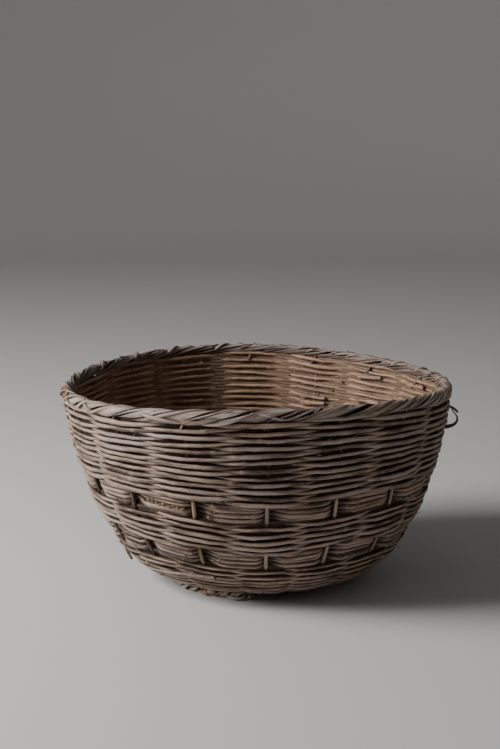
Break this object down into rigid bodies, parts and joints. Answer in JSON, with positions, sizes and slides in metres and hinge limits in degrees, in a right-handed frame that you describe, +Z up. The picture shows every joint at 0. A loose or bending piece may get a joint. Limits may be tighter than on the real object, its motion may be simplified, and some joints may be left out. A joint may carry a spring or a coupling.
{
  "type": "woven basket",
  "caption": "Round open farm basket of woven rods with a flared wall, open bands, a rolled border and a small side loop.",
  "frame": {"origin": "on the ground under the middle of the floor", "axes": "+Z up, the front of the basket faces -Y, the small side loop is towards +X"},
  "size_m": [0.5164, 0.5075, 0.2666],
  "materials": {
    "weathered_rod": "weathered matt grey-brown rod",
    "stake_rod": "weathered matt rod",
    "floor_rod": "dark soiled matt rod",
    "border_cane": "split cane rubbed smooth by hands"
  },
  "bodies": {
    "root": {"floor_stick_1": "floor_rod", "floor_stick_2": "floor_rod", "floor_stick_3": "floor_rod", "floor_stick_4": "floor_rod", "floor_stick_5": "floor_rod", "floor_stick_6": "floor_rod", "floor_stick_7": "floor_rod", "floor_stick_8": "floor_rod", "floor_weaver_a": "floor_rod", "floor_weaver_b": "floor_rod", "foot_ring": "floor_rod", "side_stake_01": "stake_rod", "side_stake_02": "stake_rod", "side_stake_03": "stake_rod", "side_stake_04": "stake_rod", "side_stake_05": "stake_rod", "side_stake_06": "stake_rod", "side_stake_07": "stake_rod", "side_stake_08": "stake_rod", "side_stake_09": "stake_rod", "side_stake_10": "stake_rod", "side_stake_11": "stake_rod", "side_stake_12": "stake_rod", "side_stake_13": "stake_rod", "side_stake_14": "stake_rod", "side_stake_15": "stake_rod", "side_stake_16": "stake_rod", "lower_weaver_a": "weathered_rod", "lower_weaver_b": "weathered_rod", "middle_weaver_a": "weathered_rod", "middle_weaver_b": "weathered_rod", "upper_weaver_a": "weathered_rod", "upper_weaver_b": "weathered_rod", "lower_band_rod": "weathered_rod", "upper_band_rod": "weathered_rod", "border_core": "floor_rod", "border_strand_01": "border_cane", "border_strand_02": "border_cane", "border_strand_03": "border_cane", "border_strand_04": "border_cane", "border_strand_05": "border_cane", "border_strand_06": "border_cane", "border_strand_07": "border_cane", "border_strand_08": "border_cane", "border_strand_09": "border_cane", "border_strand_10": "border_cane", "border_strand_11": "border_cane", "border_strand_12": "border_cane", "border_strand_13": "border_cane", "border_strand_14": "border_cane", "border_strand_15": "border_cane", "border_strand_16": "border_cane", "side_loop": "border_cane"}
  },
  "joints": []
}
